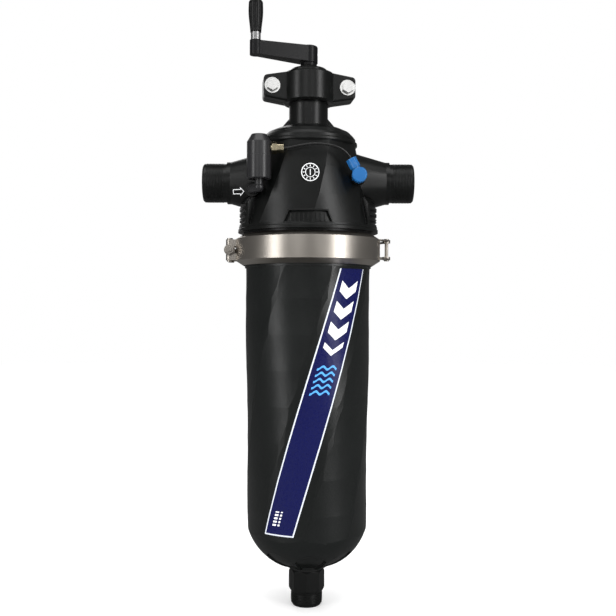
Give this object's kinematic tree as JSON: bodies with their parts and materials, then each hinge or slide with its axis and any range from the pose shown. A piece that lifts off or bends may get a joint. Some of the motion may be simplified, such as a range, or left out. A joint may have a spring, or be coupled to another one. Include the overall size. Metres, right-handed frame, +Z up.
{
  "type": "semi-automatic water filter",
  "caption": "Inline suction-scanning water filter: black lobed vessel in a V-band clamp, two side pipe ports, drain and a top hand crank.",
  "frame": {"origin": "on the centreline of both ports, where the inlet port's full outside diameter begins, 2.2 mm in from its end face", "axes": "+X from inlet to outlet along the port centreline, +Y towards the back, +Z up along the vessel"},
  "size_m": [0.324, 0.2232, 0.9243],
  "materials": {
    "black_plastic": "satin moulded, fine grain",
    "stainless": "brushed",
    "bright_steel": "polished",
    "rubber": "smooth",
    "acetal": "smooth",
    "collector_plastic": "smooth",
    "screen_plastic": "satin",
    "mesh": "woven",
    "crank_black": "satin powder coat",
    "ferrule_grey": "satin",
    "grip_black": "satin",
    "indicator_black": "satin",
    "signal_red": "smooth",
    "brass": "machined",
    "tube_black": "smooth",
    "blue_plastic": "satin moulded"
  },
  "bodies": {
    "vessel": {"head": "black_plastic", "bowl": "black_plastic", "body_seal": "rubber", "drain_nipple": "black_plastic", "drain_seal": "rubber", "clamp_band_front": "stainless", "clamp_band_rear": "stainless", "clamp_hinge_pin": "stainless", "clamp_trunnions": "stainless", "clamp_bolt": "stainless", "clamp_nut": "stainless", "coupling_half_front": "black_plastic", "coupling_half_rear": "black_plastic", "coupling_gasket": "rubber", "coupling_bolts": "bright_steel", "coupling_washers": "bright_steel", "coupling_nuts": "bright_steel", "gland_cover": "black_plastic", "shaft_bush": "acetal", "shaft_seals": "rubber", "thrust_washer": "acetal", "drive_nut": "acetal", "screen_mesh": "mesh", "screen_cage": "screen_plastic", "screen_top_ring": "screen_plastic", "screen_top_seal": "rubber", "screen_bottom_cap": "screen_plastic", "screen_bottom_seal": "rubber", "lower_bush": "acetal", "collector_wiper": "rubber", "indicator_body": "indicator_black", "indicator_cap": "indicator_black", "indicator_spring": "stainless", "indicator_elbow": "indicator_black", "indicator_fitting": "brass", "fitting_nut": "brass", "microtube": "tube_black", "outlet_fitting": "blue_plastic", "outlet_fitting_nut": "blue_plastic"},
    "crank": {"crank_arm": "crank_black", "crank_set_screw": "stainless", "drive_shaft": "stainless", "retaining_ring": "stainless", "grip_ferrule": "ferrule_grey", "grip_screw": "stainless"},
    "collector": {"collector_tube": "collector_plastic", "suction_nozzles": "collector_plastic"},
    "grip": {"grip": "grip_black"},
    "indicator_plunger": {"indicator_pin": "signal_red", "indicator_seal": "rubber"}
  },
  "joints": [
    {"name": "crank_turn", "type": "hinge", "parent": "vessel", "child": "crank", "pos_m": [0.1598, 0, 0.15], "axis": [0, 0, -1], "range_deg": [0, 1440]},
    {"name": "collector_travel", "type": "slide", "parent": "crank", "child": "collector", "axis": [0, 0, -1], "range_m": [0, 0.08]},
    {"name": "grip_spin", "type": "hinge", "parent": "crank", "child": "grip", "pos_m": [0.07953, -0.03607, 0.24], "axis": [0, 0, 1], "continuous": true},
    {"name": "indicator_rise", "type": "slide", "parent": "vessel", "child": "indicator_plunger", "axis": [0, 0, 1], "range_m": [0, 0.005], "stiffness_N_per_m": 150, "deforming": ["indicator_spring"]}
  ],
  "couplings": [
    {"joint": "collector_travel", "follows": "crank_turn", "m_per_rad": 0.0031831}
  ]
}
